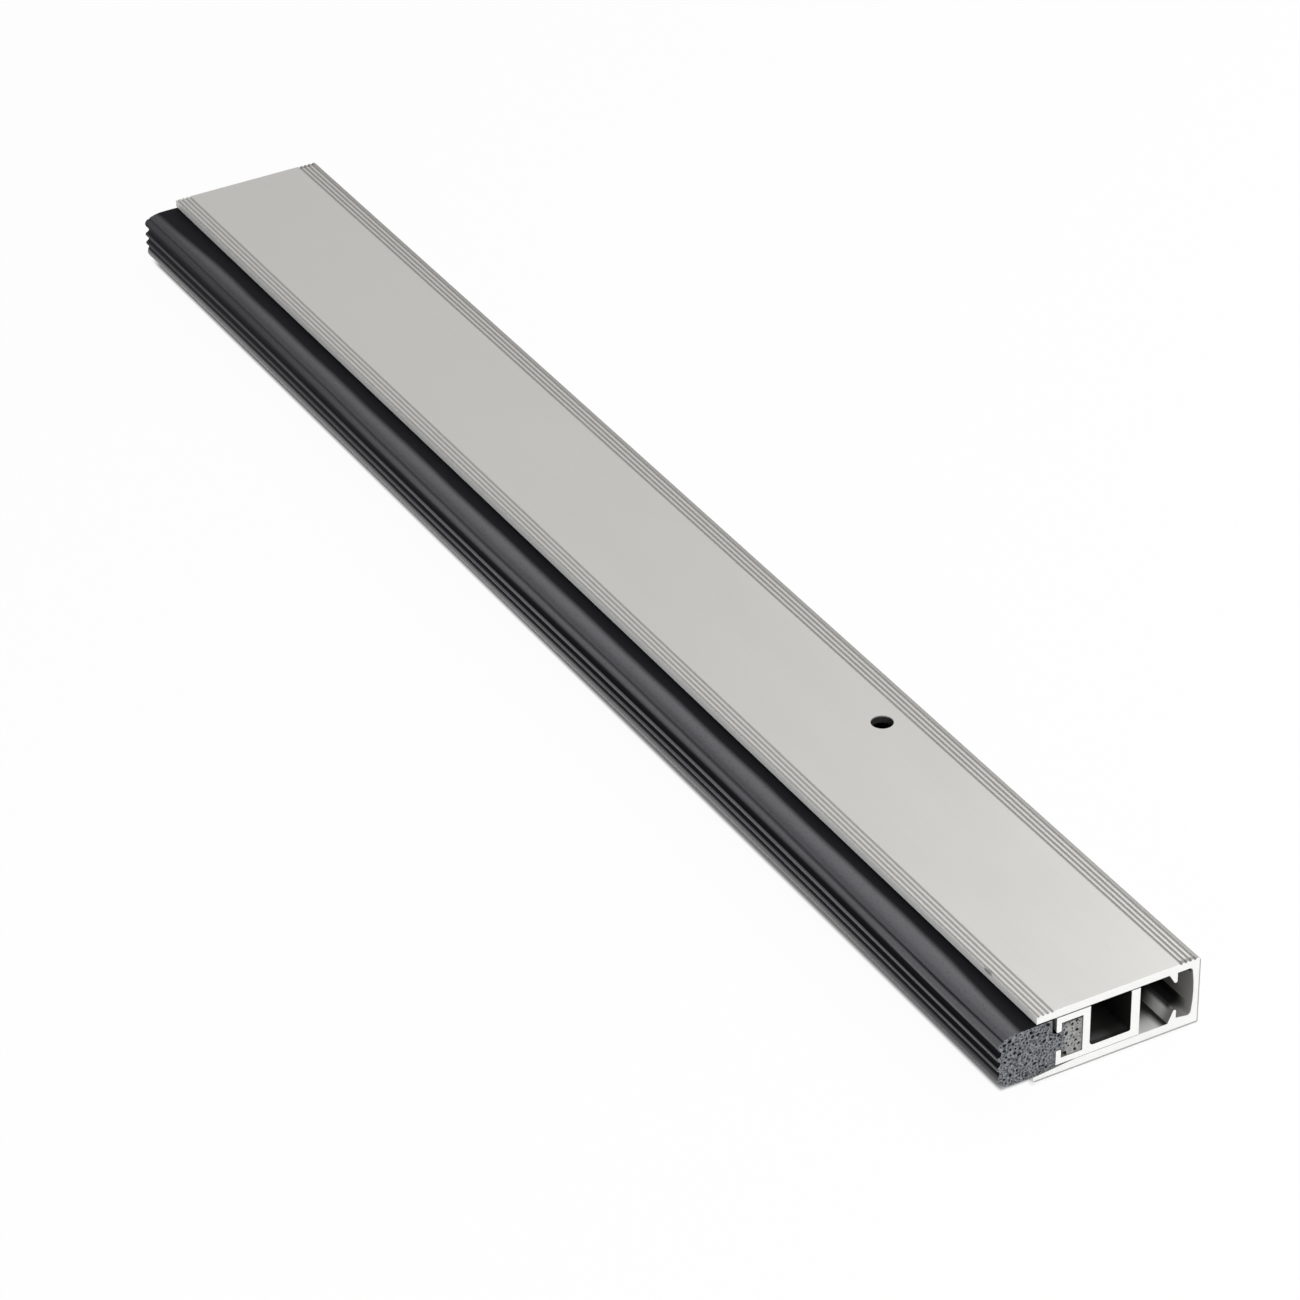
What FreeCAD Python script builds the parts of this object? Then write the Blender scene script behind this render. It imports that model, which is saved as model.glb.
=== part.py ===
import FreeCAD, Part
import math
import os
import re
import Sketcher

# Adjustable perimeter seal: a strip of door furniture in five pieces. A channel extrusion is
# screwed to the door stop. A slide extrusion moves across inside it and carries a ribbed sponge
# seal in its T slot. Two captive adjusting screws turn behind the channel's barbs, and push the
# slide out or draw it in.
#
# Sections are in millimetres, measured across from the tip of the channel's top plate and up
# from its underside. X is across, with the sponge on the -X side, Y is along the strip and Z is
# up. The origin is the middle of the underside of the whole strip.

os.makedirs("parts", exist_ok=True)
doc = FreeCAD.newDocument("perimeter_seal")

SIZES = (
    ("strip_length", 320, "cut length of the strip"),
    ("housing_width", 32, "channel, tip to back"),
    ("housing_height", 13.2, "channel, underside to top face"),
    ("seal_reach", 7.5, "sponge past the channel's tip"),
    ("top_thickness", 1.5, "top plate"),
    ("floor_height", 1.85, "base plate"),
    ("lip_thickness", 1.05, "base plate at its front edge"),
    ("lip_reach", 0.35, "front edge of the base plate, past the tip"),
    ("lip_taper", 8, "front stretch where the base plate thins"),
    ("lip_radius", 0.5, "lower front edge"),
    ("heel_radius", 0.3, "lower back edge"),
    ("shoulder_radius", 0.6, "upper back edge"),
    ("back_inner", 30.5, "ends of the back wall's inner face"),
    ("back_bow", 27, "radius of the back wall's bowed inner face"),
    ("pocket_radius", 0.75, "corners of the screw pocket"),
    ("pocket_floor", 2.15, "floor of the screw pocket at the back wall"),
    ("pocket_sill", 2.5, "floor of the screw pocket at the barb"),
    ("barb_root", 25.9, "front of the barbs at their roots"),
    ("barb_tip", 26.9, "front of the barbs at their tips"),
    ("barb_face", 27.5, "back of the barbs"),
    ("barb_low", 4, "tip of the lower barb"),
    ("barb_high", 10, "tip of the upper barb"),
    ("barb_round", 0.32, "rounded barb tips"),
    ("flute_radius", 0.27, "half round flutes in the top face"),
    ("flute_rise", 0.05, "flute centres above the top face"),
    ("flute_pitch", 0.9, "flute to flute"),
    ("flute_count", 4, "flutes in each band"),
    ("front_flute", 0.32, "first flute of the front band"),
    ("back_flute", 28.15, "first flute of the back band"),
    ("fixing_diameter", 4.1, "fixing hole through both plates"),
    ("fixing_across", 23.4, "fixing hole from the tip"),
    ("fixing_along", 84.7, "fixing hole from the near end"),
    ("adjuster_height", 7, "axis of the adjusting screws"),
    ("adjuster_inset", 60, "adjusting screws from the ends"),
    ("key_hole", 5, "key holes in the back wall"),
    ("key_hole_depth", 2, "cut of the key holes"),
    ("slide_front", 3.95, "front of the slide"),
    ("slide_back", 20.2, "back of the slide"),
    ("slide_foot", 1.95, "underside of the slide"),
    ("slide_top", 11.45, "top of the slide"),
    ("slot_front", 4.93, "inner faces of the slide's lips"),
    ("slot_back", 9.1, "back of the T slot"),
    ("slot_floor", 3.1, "floor of the T slot"),
    ("slot_roof", 10.2, "roof of the T slot"),
    ("mouth_low", 4.78, "edge of the lower lip"),
    ("mouth_high", 8.45, "edge of the upper lip"),
    ("lip_round", 0.25, "rounded edges of the lips"),
    ("hollow_front", 10.5, "front of the open hollow"),
    ("hollow_back", 18.5, "back of the open hollow"),
    ("hollow_floor", 3.4, "floor of the open hollow"),
    ("hollow_front_round", 0.8, "front corner of the hollow's floor"),
    ("hollow_back_round", 0.3, "back corner of the hollow's floor"),
    ("sponge_gap", 0.1, "sponge clear of the slide"),
    ("foot_cut_across", 1, "cut corner of the sponge foot, across"),
    ("foot_cut_up", 0.95, "cut corner of the sponge foot, up"),
    ("nape", 3.1, "back of the sponge above its neck"),
    ("nape_slope", 0.4, "sloped stretch from there to the neck"),
    ("seal_top", 11.45, "flat top of the sponge"),
    ("crown_start", 3.3, "end of the flat top, past the tip"),
    ("crown_radius", 8.1, "falling crown of the sponge"),
    ("crease_start", 6.3, "upper edge of the crease, past the tip"),
    ("crease_high", 10.87, "upper edge of the crease"),
    ("crease_end", 6.75, "lower edge of the crease, past the tip"),
    ("crease_low", 10.62, "lower edge of the crease"),
    ("crease_radius", 0.35, "hollow of the crease"),
    ("bead_radius", 1, "bead under the crease"),
    ("bead_foot", 8.95, "lower end of the bead"),
    ("rib_height", 7.3, "middle of the upper rib"),
    ("rib_pitch", 1.95, "rib to rib"),
    ("rib_half", 0.45, "half the height of a rib"),
    ("rib_radius", 0.46, "rounded ribs"),
    ("rib_groove_radius", 0.62, "grooves beside the ribs"),
    ("chin_high", 3.95, "top of the plain lower face"),
    ("chin_low", 3.05, "foot of the plain lower face"),
    ("chin_reach", 7.25, "foot of the plain lower face, past the tip"),
    ("chin_radius", 3, "rounded lower edge of the sponge"),
    ("sole_front", 5.4, "front of the sponge's underside, past the tip"),
    ("sole_height", 1.17, "front of the sponge's underside"),
    ("sole_back", 1.65, "back of the sponge's underside"),
    ("screw_diameter", 5, "adjusting screw, outside its thread"),
    ("screw_length", 16, "adjusting screw under its head"),
    ("screw_running_gap", 0.1, "slide's bores, wider than the screws"),
    ("screw_tip_cut", 0.7, "chamfer at the screw's end"),
    ("head_diameter", 8.6, "screw head"),
    ("head_thickness", 2.5, "screw head"),
    ("head_cut", 0.5, "chamfer round the screw head"),
    ("head_play", 0.15, "screw head clear of the barbs"),
    ("socket_across", 3, "hexagon socket across its flats"),
    ("socket_depth", 1.6, "hexagon socket"),
)
SIZE_NAMES = {alias for alias, value, note in SIZES}
RIB_COUNT = 2

ROOF = "(housing_height - top_thickness)"
TIP_TO_ORIGIN = "(seal_reach - housing_width) / 2"
NEAR_SCREW = "(adjuster_inset - strip_length / 2)"
FAR_SCREW = "(strip_length / 2 - adjuster_inset)"

LEFT = 1
RIGHT = -1
START, END, CENTRE = 1, 2, 3
NORMAL = FreeCAD.Vector(0, 0, 1)
FULL_TURN = 360


def fill_sheet():
    """Write every size into a cell of its own, named by its alias."""
    cells = doc.addObject("Spreadsheet::Sheet", "Sizes")
    for row, (alias, value, note) in enumerate(SIZES, start=1):
        cells.set(f"A{row}", note)
        cells.set(f"B{row}", str(value))
        cells.setAlias(f"B{row}", alias)
    doc.recompute()
    return cells


sheet = fill_sheet()


def bound(formula):
    """Turn a formula of size names into an expression on the sheet."""
    def name_cell(word):
        return f"Sizes.{word.group()}" if word.group() in SIZE_NAMES else word.group()
    return re.sub(r"[a-z]\w*", name_cell, formula)


def measure(formula):
    """Work out a formula of size names in millimetres."""
    value = sheet.evalExpression(bound(formula))
    return float(getattr(value, "Value", value))


def point(across, up):
    """Give the sketch point that two formulas name."""
    return FreeCAD.Vector(measure(across), measure(up), 0)


def constrain(sketch, constraints):
    """Add (kind, *where, formula) constraints, each bound to the sheet."""
    for kind, *where, formula in constraints:
        index = sketch.addConstraint(Sketcher.Constraint(kind, *where, measure(formula)))
        sketch.setExpression(f"Constraints[{index}]", bound(formula))


def arc_between(start, end, turn, radius):
    """Give the shorter arc of a radius from start to end, turning left or right."""
    chord = end - start
    side = FreeCAD.Vector(-chord.y, chord.x, 0).normalize() * turn
    centre = (start + end) / 2 + side * math.sqrt(radius ** 2 - (chord.Length / 2) ** 2)
    first, last = (start, end) if turn == LEFT else (end, start)
    first_angle = math.atan2(first.y - centre.y, first.x - centre.x)
    last_angle = math.atan2(last.y - centre.y, last.x - centre.x)
    return Part.ArcOfCircle(Part.Circle(centre, NORMAL, radius), first_angle, last_angle)


def draw_outline(sketch, steps):
    """Draw a closed outline through its steps, each where one run or arc ends.

    A step is (across, up) at the end of a straight run, or (across, up, turn, radius) at the end
    of an arc. Every point and radius is bound to the sheet.
    """
    joints = []
    places = []
    for number, step in enumerate(steps):
        across, up, *bend = step
        start = point(*steps[number - 1][:2])
        end = point(across, up)
        if bend:
            turn, radius = bend
            edge = sketch.addGeometry(arc_between(start, end, turn, measure(radius)), False)
            places.append(("Radius", edge, radius))
        else:
            turn = LEFT
            edge = sketch.addGeometry(Part.LineSegment(start, end), False)
        arrival = (edge, END if turn == LEFT else START)
        joints.append(((edge, START if turn == LEFT else END), arrival))
        places.append(("DistanceX", *arrival, across))
        places.append(("DistanceY", *arrival, up))
    for number, (departure, arrival) in enumerate(joints):
        sketch.addConstraint(Sketcher.Constraint("Coincident", *joints[number - 1][1], *departure))
    constrain(sketch, places)


def draw_circle(sketch, across, up, diameter):
    """Draw a circle whose centre and diameter are bound to the sheet."""
    circle = Part.Circle(point(across, up), NORMAL, measure(diameter) / 2)
    edge = sketch.addGeometry(circle, False)
    constrain(sketch, [
        ("DistanceX", edge, CENTRE, across),
        ("DistanceY", edge, CENTRE, up),
        ("Diameter", edge, diameter),
    ])


def origin_feature(body, role):
    """Give one of a body's own origin planes or axes."""
    return next(feature for feature in body.Origin.OriginFeatures if feature.Role == role)


def new_body(node, across="0", along="0", up="0"):
    """Start a sub-part whose own origin is on the channel's tip line."""
    body = doc.addObject("PartDesign::Body", node)
    body.Label = node
    body.setExpression("Placement.Base.x", bound(f"{TIP_TO_ORIGIN} + {across}"))
    body.setExpression("Placement.Base.y", bound(along))
    body.setExpression("Placement.Base.z", bound(up))
    return body


def new_sketch(body, name, role, lift="0"):
    """Start a sketch on one of the body's origin planes, lifted along its normal."""
    sketch = body.newObject("Sketcher::SketchObject", name)
    sketch.AttachmentSupport = [(origin_feature(body, role), "")]
    sketch.MapMode = "FlatFace"
    sketch.setExpression("AttachmentOffset.Base.z", bound(lift))
    return sketch


def extrude_section(body, steps):
    """Extrude a section over the strip's whole length."""
    section = new_sketch(body, f"{body.Label}_section", "XZ_Plane")
    draw_outline(section, steps)
    pad = body.newObject("PartDesign::Pad", f"{body.Label}_extrusion")
    pad.Profile = section
    pad.Midplane = True
    pad.setExpression("Length", bound("strip_length"))
    doc.recompute()


def cut(body, kind, profile, settings):
    """Cut a profile out of the body and check that it took something away."""
    before = body.Shape.Volume
    feature = body.newObject(kind, f"{profile.Label}_cut")
    feature.Profile = profile
    doc.recompute()
    for name, value in settings.items():
        if isinstance(value, str) and name not in ("Type", "DepthType"):
            feature.setExpression(name, bound(value))
        else:
            setattr(feature, name, value)
    doc.recompute()
    if not body.Shape.Volume < before:
        raise RuntimeError(f"{feature.Label} cuts nothing")
    return feature


def cut_flutes(body, name, first):
    """Cut one flute along the top face and repeat it across a band."""
    profile = new_sketch(body, name, "XZ_Plane")
    draw_circle(profile, first, "housing_height + flute_rise", "flute_radius * 2")
    flute = cut(body, "PartDesign::Pocket", profile, {"Type": "ThroughAll", "Midplane": True})
    band = body.newObject("PartDesign::LinearPattern", f"{name}_band")
    band.Originals = [flute]
    band.Direction = (origin_feature(body, "X_Axis"), [""])
    band.setExpression("Length", bound("flute_pitch * (flute_count - 1)"))
    band.setExpression("Occurrences", bound("flute_count"))
    body.Tip = band
    doc.recompute()


def make_outer_channel():
    """Make the fluted channel with its barbed screw pocket, fixing hole and key holes."""
    body = new_body("outer_channel")
    extrude_section(body, (
        ("lip_radius - lip_reach", "0", LEFT, "lip_radius"),
        ("housing_width - heel_radius", "0"),
        ("housing_width", "heel_radius", LEFT, "heel_radius"),
        ("housing_width", "housing_height - shoulder_radius"),
        ("housing_width - shoulder_radius", "housing_height", LEFT, "shoulder_radius"),
        ("0", "housing_height"),
        ("0", ROOF),
        ("barb_root", ROOF),
        ("barb_tip", "barb_high"),
        ("barb_face", "barb_high", LEFT, "barb_round"),
        ("barb_face", ROOF),
        ("back_inner - pocket_radius", ROOF),
        ("back_inner", f"{ROOF} - pocket_radius", RIGHT, "pocket_radius"),
        ("back_inner", "pocket_floor + pocket_radius", RIGHT, "back_bow"),
        ("back_inner - pocket_radius", "pocket_floor", RIGHT, "pocket_radius"),
        ("barb_face", "pocket_sill"),
        ("barb_face", "barb_low"),
        ("barb_tip", "barb_low", LEFT, "barb_round"),
        ("barb_root", "floor_height"),
        ("lip_taper", "floor_height"),
        ("-lip_reach", "lip_thickness"),
        ("-lip_reach", "lip_radius"),
    ))
    cut_flutes(body, "front_flute_profile", "front_flute")
    cut_flutes(body, "back_flute_profile", "back_flute")

    key_holes = new_sketch(body, "key_holes", "YZ_Plane", "housing_width")
    for along in (NEAR_SCREW, FAR_SCREW):
        draw_circle(key_holes, along, "adjuster_height", "key_hole")
    cut(body, "PartDesign::Pocket", key_holes, {"Length": "key_hole_depth"})

    fixing_hole = new_sketch(body, "fixing_hole", "XY_Plane", "housing_height")
    draw_circle(fixing_hole, "fixing_across", "fixing_along - strip_length / 2", "fixing_diameter")
    drill = {"DepthType": "ThroughAll", "Threaded": False, "Diameter": "fixing_diameter"}
    cut(body, "PartDesign::Hole", fixing_hole, drill)
    return body


def make_inner_slide():
    """Make the slide with its T slot, its open hollow and the bores for the screws."""
    body = new_body("inner_slide")
    extrude_section(body, (
        ("slide_front", "slide_foot"),
        ("slide_back", "slide_foot"),
        ("slide_back", "slide_top"),
        ("hollow_back", "slide_top"),
        ("hollow_back", "hollow_floor + hollow_back_round"),
        ("hollow_back - hollow_back_round", "hollow_floor", RIGHT, "hollow_back_round"),
        ("hollow_front + hollow_front_round", "hollow_floor"),
        ("hollow_front", "hollow_floor + hollow_front_round", RIGHT, "hollow_front_round"),
        ("hollow_front", "slide_top"),
        ("slide_front", "slide_top"),
        ("slide_front", "mouth_high + lip_round"),
        ("slide_front + lip_round", "mouth_high", LEFT, "lip_round"),
        ("slot_front - lip_round", "mouth_high"),
        ("slot_front", "mouth_high + lip_round", LEFT, "lip_round"),
        ("slot_front", "slot_roof"),
        ("slot_back", "slot_roof"),
        ("slot_back", "slot_floor"),
        ("slot_front", "slot_floor"),
        ("slot_front", "mouth_low - lip_round"),
        ("slot_front - lip_round", "mouth_low", LEFT, "lip_round"),
        ("slide_front + lip_round", "mouth_low"),
        ("slide_front", "mouth_low - lip_round", LEFT, "lip_round"),
    ))
    bores = new_sketch(body, "screw_bores", "YZ_Plane", "slide_back")
    for along in (NEAR_SCREW, FAR_SCREW):
        draw_circle(bores, along, "adjuster_height", "screw_diameter + screw_running_gap")
    cut(body, "PartDesign::Pocket", bores, {"Length": "slide_back - hollow_back + sponge_gap"})
    return body


def make_sponge_seal():
    """Make the sponge strip: a foot in the T slot, a neck, a crowned body and a ribbed face."""
    neck_front = "(slide_front - sponge_gap)"
    neck_low = "(mouth_low + sponge_gap)"
    neck_high = "(mouth_high - sponge_gap)"
    foot_front = "(slot_front + sponge_gap)"
    foot_back = "(slot_back - sponge_gap)"
    foot_low = "(slot_floor + sponge_gap)"
    foot_high = "(slot_roof - sponge_gap)"
    rib_root = "(rib_radius - sqrt(rib_radius ^ 2 - rib_half ^ 2) - seal_reach)"
    foot_and_neck = (
        (neck_front, "sole_back"),
        (neck_front, neck_low),
        (foot_front, neck_low),
        (foot_front, f"{foot_low} + foot_cut_up"),
        (f"{foot_front} + foot_cut_across", foot_low),
        (foot_back, foot_low),
        (foot_back, foot_high),
        (foot_front, foot_high),
        (foot_front, neck_high),
        (neck_front, neck_high),
        ("nape", f"{neck_high} + nape_slope"),
    )
    crown = (
        ("nape", "seal_top"),
        ("-crown_start", "seal_top"),
        ("-crease_start", "crease_high", LEFT, "crown_radius"),
        ("-crease_end", "crease_low", RIGHT, "crease_radius"),
        (rib_root, "bead_foot", LEFT, "bead_radius"),
    )
    ribs = []
    for number in range(RIB_COUNT):
        middle = f"rib_height - {number} * rib_pitch"
        ribs.append((rib_root, f"{middle} + rib_half", RIGHT, "rib_groove_radius"))
        ribs.append((rib_root, f"{middle} - rib_half", LEFT, "rib_radius"))
    chin = (
        (rib_root, "chin_high", RIGHT, "rib_groove_radius"),
        ("-chin_reach", "chin_low"),
        ("-sole_front", "sole_height", LEFT, "chin_radius"),
        ("0", "sole_height"),
    )
    body = new_body("sponge_seal")
    extrude_section(body, (*foot_and_neck, *crown, *ribs, *chin))
    return body


def make_adjusting_screw(node, along):
    """Make one captive screw: a flat head with a hexagon socket, and a plain shank."""
    body = new_body(node, "barb_face + head_play", along, "adjuster_height")
    half = new_sketch(body, f"{node}_half_section", "XZ_Plane")
    draw_outline(half, (
        ("-screw_length", "0"),
        ("head_thickness", "0"),
        ("head_thickness", "head_diameter / 2 - head_cut"),
        ("head_thickness - head_cut", "head_diameter / 2"),
        ("0", "head_diameter / 2"),
        ("0", "screw_diameter / 2"),
        ("screw_tip_cut - screw_length", "screw_diameter / 2"),
        ("-screw_length", "screw_diameter / 2 - screw_tip_cut"),
    ))
    turning = body.newObject("PartDesign::Revolution", f"{node}_turning")
    turning.Profile = half
    turning.ReferenceAxis = (origin_feature(body, "X_Axis"), [""])
    turning.Angle = FULL_TURN
    doc.recompute()

    corner = "socket_across / sqrt(3)"
    flat = "socket_across / 2"
    hexagon = new_sketch(body, f"{node}_socket", "YZ_Plane", "head_thickness")
    draw_outline(hexagon, (
        (corner, "0"),
        (f"{corner} / 2", flat),
        (f"-{corner} / 2", flat),
        (f"-{corner}", "0"),
        (f"-{corner} / 2", f"-{flat}"),
        (f"{corner} / 2", f"-{flat}"),
    ))
    cut(body, "PartDesign::Pocket", hexagon, {"Length": "socket_depth"})
    return body


def check_document():
    """Stop if any object of the document failed."""
    doc.recompute()
    for item in doc.Objects:
        if {"Invalid", "Error"} & set(item.State):
            raise RuntimeError(f"{item.Label} failed: {item.State}")


def export(body):
    """Write one sub-part after testing its solid."""
    shape = body.Shape
    if shape.isNull() or not shape.isValid() or len(shape.Solids) != 1:
        raise RuntimeError(f"{body.Label} is not one valid solid")
    shape.exportStep(f"parts/{body.Label}.step")


SUB_PARTS = (
    make_outer_channel(),
    make_inner_slide(),
    make_sponge_seal(),
    make_adjusting_screw("adjusting_screw_near", NEAR_SCREW),
    make_adjusting_screw("adjusting_screw_far", FAR_SCREW),
)
check_document()
for sub_part in SUB_PARTS:
    export(sub_part)
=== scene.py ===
"""Looks of an adjustable perimeter seal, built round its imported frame.

The channel and the slide keep their own shapes and get anodised and mill finishes. The sponge
seal and the two adjusting screws are modelled here in full. X is across the strip, with the
sponge on the -X side, Y is along it and Z is up. Every size is in metres.
"""

import math
import random

import bpy
from bpy.props import FloatProperty, FloatVectorProperty, IntProperty, PointerProperty
from mathutils import Matrix, Vector, geometry, noise


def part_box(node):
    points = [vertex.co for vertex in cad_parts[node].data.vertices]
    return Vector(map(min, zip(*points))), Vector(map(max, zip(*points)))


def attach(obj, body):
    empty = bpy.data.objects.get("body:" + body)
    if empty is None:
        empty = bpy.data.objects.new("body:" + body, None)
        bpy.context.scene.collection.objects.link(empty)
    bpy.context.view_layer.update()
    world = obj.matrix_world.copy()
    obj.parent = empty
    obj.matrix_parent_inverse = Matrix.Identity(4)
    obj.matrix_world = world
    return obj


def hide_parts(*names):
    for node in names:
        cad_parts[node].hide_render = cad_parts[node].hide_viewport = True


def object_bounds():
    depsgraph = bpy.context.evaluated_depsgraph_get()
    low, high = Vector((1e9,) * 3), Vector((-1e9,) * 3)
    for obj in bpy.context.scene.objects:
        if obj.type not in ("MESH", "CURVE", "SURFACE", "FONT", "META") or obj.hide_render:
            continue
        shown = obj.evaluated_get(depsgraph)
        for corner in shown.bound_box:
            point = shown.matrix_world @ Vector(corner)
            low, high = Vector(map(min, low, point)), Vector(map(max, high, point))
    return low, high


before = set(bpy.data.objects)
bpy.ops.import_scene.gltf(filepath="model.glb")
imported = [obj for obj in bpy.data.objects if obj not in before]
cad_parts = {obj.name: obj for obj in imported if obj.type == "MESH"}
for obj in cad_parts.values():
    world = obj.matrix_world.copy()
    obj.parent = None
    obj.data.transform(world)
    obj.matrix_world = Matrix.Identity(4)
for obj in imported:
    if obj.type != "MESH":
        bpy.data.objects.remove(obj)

bl_info = {
    "name": "Adjustable perimeter seal",
    "version": (1, 0, 0),
    "blender": (4, 5, 0),
    "location": "View3D > Sidebar > Seal",
    "description": "Finishes, sponge seal, adjusting screws and stage of a perimeter seal",
    "category": "Object",
}

MM = 0.001
CAD_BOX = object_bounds()
STRIP_LOW, STRIP_HIGH = CAD_BOX
CHANNEL_LOW, CHANNEL_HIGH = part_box("outer_channel")
SLIDE_LOW, SLIDE_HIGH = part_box("inner_slide")
SPONGE_LOW, SPONGE_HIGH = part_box("sponge_seal")

# The channel's section: its top plate, the pocket along its back wall and the lower barb.
PLATE_UNDERSIDE = CHANNEL_HIGH.z - 1.5 * MM
POCKET_FLOOR = CHANNEL_LOW.z + 1.85 * MM
POCKET_WALL = CHANNEL_HIGH.x - 1.5 * MM
BARB_FACE = CHANNEL_HIGH.x - 4.5 * MM
BARB_ROOT = CHANNEL_HIGH.x - 6.1 * MM
BARB_CREST = CHANNEL_LOW.z + 4 * MM

# The sponge's front, from its chin up to its crease, as heights above the strip's underside.
CHIN_TOP = 3.5 * MM
RIB_PARTING = 6.2 * MM
RIBS_TOP = 8.6 * MM
BEAD_FOOT = 9.2 * MM
CREASE_HEIGHT = SPONGE_HIGH.z - 0.83 * MM

# Stretches over which the sponge's painted sheen changes, as distances from the near end.
NEAR_PART = (20 * MM, 60 * MM)
FAR_PART = (140 * MM, 290 * MM)

# Rings of a pore, each as shares of its radius and of its depth.
PORE_RINGS = ((1.0, 0.0), (0.86, 0.55), (0.5, 0.95))

# Weights of the axes, for a distance measured in the strip's section.
IN_SECTION = (1, 0, 1)

# A surface that faces along the strip by more than this share belongs to an end.
FACES_END = 0.7

WHITE = (1, 1, 1, 1)
PAPER = (0.95, 0.95, 0.95, 1)
SHARP_ANGLE = math.radians(38)
BODY_OF = {"sponge_seal": "slide", "adjusting_screw_near": "near_screw",
           "adjusting_screw_far": "far_screw"}


def length(name, description, default):
    """Make a property for a size in metres."""
    return FloatProperty(name=name, description=description, default=default, min=0,
                         precision=5, unit="LENGTH")


def colour(name, description, default):
    """Make a property for a linear colour."""
    return FloatVectorProperty(name=name, description=description, default=default,
                               min=0, max=1, subtype="COLOR")


def share(name, description, default):
    """Make a property for a share from 0 to 1."""
    return FloatProperty(name=name, description=description, default=default,
                         min=0, max=1, subtype="FACTOR")


def count(name, description, default):
    """Make a property for a whole number."""
    return IntProperty(name=name, description=description, default=default, min=1)


def angle(name, description, degrees):
    """Make a property for an angle, given in degrees."""
    return FloatProperty(name=name, description=description, default=math.radians(degrees),
                         subtype="ANGLE")


class AluminiumSettings(bpy.types.PropertyGroup):
    """Finish of the channel and the slide."""

    anodised: colour("Anodised", "Satin anodised skin of the channel", (0.545, 0.535, 0.515))
    mill: colour("Mill", "Bare extruded skin of the slide", (0.60, 0.60, 0.59))
    sawn: colour("Sawn", "Freshly sawn metal at the ends", (0.90, 0.90, 0.885))
    # Painted shade: near black inside the slide's open hollow.
    painted_hollow_shade: colour("Etched", "Dark etch left in the slide's open hollow", (0.06, 0.06, 0.058))
    # Painted shade deep inside the channel's pocket and on the fixing hole's wall.
    painted_shade: colour("Deep", "Unbrushed skin deep inside the channel", (0.035, 0.036, 0.036))
    # A grey painted as shade along the outer edges of the ends, and as light on the hollow's floor
    # at its mouth.
    painted_light_and_shade: colour("Filed", "Outer edges of the ends, broken with a file", (0.27, 0.27, 0.27))
    nicked: colour("Nicked", "Dull metal in the nick", (0.16, 0.16, 0.17))
    # The flute and back shades are painted shade, in the flutes and on the top's back edge.
    flute_shade: share("Flute shade", "How much darker the flutes are than the ridges", 0.32)
    back_shade: share("Back shade", "How much darker the back edge of the top is", 0.42)
    metal: share("Metal", "Mirror part of the etched skin, the rest being matt", 0.6)
    anodised_roughness: share("Anodised roughness", "Gloss of the anodised skin", 0.42)
    mill_roughness: share("Mill roughness", "Gloss of the extruded skin", 0.34)
    sawn_roughness: share("Sawn roughness", "Gloss of the sawn ends", 0.4)
    die_line: length("Die line", "Width of the fine lines along the extrusions", 0.22 * MM)
    saw_line: length("Saw line", "Spacing of the saw marks on the ends", 0.2 * MM)
    blade_radius: length("Blade radius", "Radius of the saw marks", 110 * MM)
    bright_edge: length("Bright edge", "Worn rim of the anodised skin at the ends", 0.12 * MM)
    # Width of the painted shade along the outer edges of the ends.
    edge_shade_width: length("Filed edge", "Width of the filed edges", 0.33 * MM)
    nick_along: length("Nick place", "Nick in the plate's tip, from the near end", 14.6 * MM)
    nick_size: length("Nick size", "Half the length of the nick", 1.6 * MM)


class SpongeSettings(bpy.types.PropertyGroup):
    """Form and finish of the sponge seal."""

    skin: colour("Skin", "Smooth moulded skin", (0.027, 0.026, 0.033))
    # Painted shade: in the grooves, the crease and the plate's shadow beside it.
    painted_shade_skin: colour("Deep skin", "Skin in the grooves and beside the plate",
                      (0.006, 0.006, 0.008))
    foam: colour("Foam", "Cell walls on the cut ends", (0.19, 0.195, 0.21))
    foot_foam: colour("Foot foam", "Denser cell walls of the foot", (0.30, 0.30, 0.295))
    # Painted light: the low front is lit paler from the floor.
    chin_painted_light: colour("Chin skin", "Paler skin low on the front", (0.10, 0.10, 0.103))
    # Painted shade at the bottoms of the pits, also used for the fine dark cells.
    cell: colour("Cell", "Bottoms of the open cells", (0.012, 0.012, 0.014))
    skin_roughness: share("Skin roughness", "Gloss of the skin", 0.46)
    step_across: length("Step across", "Longest step of the mesh round the section", 0.3 * MM)
    step_along: length("Step along", "Step of the mesh along the strip", 2 * MM)
    wander: length("Wander", "How far the soft skin wanders inwards", 0.06 * MM)
    sway: length("Sway", "How far the front sways back along the strip", 0.4 * MM)
    sway_along: length("Sway length", "From one such hollow to the next", 185 * MM)
    wander_along: length("Wander length", "Length of the skin's slow waves", 17 * MM)
    throws: count("Throws", "Tries to place a pore on each end", 3400)
    small_pore: length("Small pore", "Radius of the smallest pores", 0.15 * MM)
    large_pore: length("Large pore", "Radius of the largest pores", 0.44 * MM)
    pore_wall: length("Pore wall", "Thinnest wall between two pores", 0.07 * MM)
    pore_depth: share("Pore depth", "Depth of a pore, as a share of its width", 0.75)
    cut_unevenness: length("Cut unevenness", "Roughness of the knife cut", 0.06 * MM)
    tear: length("Tear", "Depth of the torn corner of the foot at the near end", 0.66 * MM)
    tear_along: length("Tear length", "Length of the torn corner along the strip", 3 * MM)
    seed: count("Seed", "Start of the random draws", 7)


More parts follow.
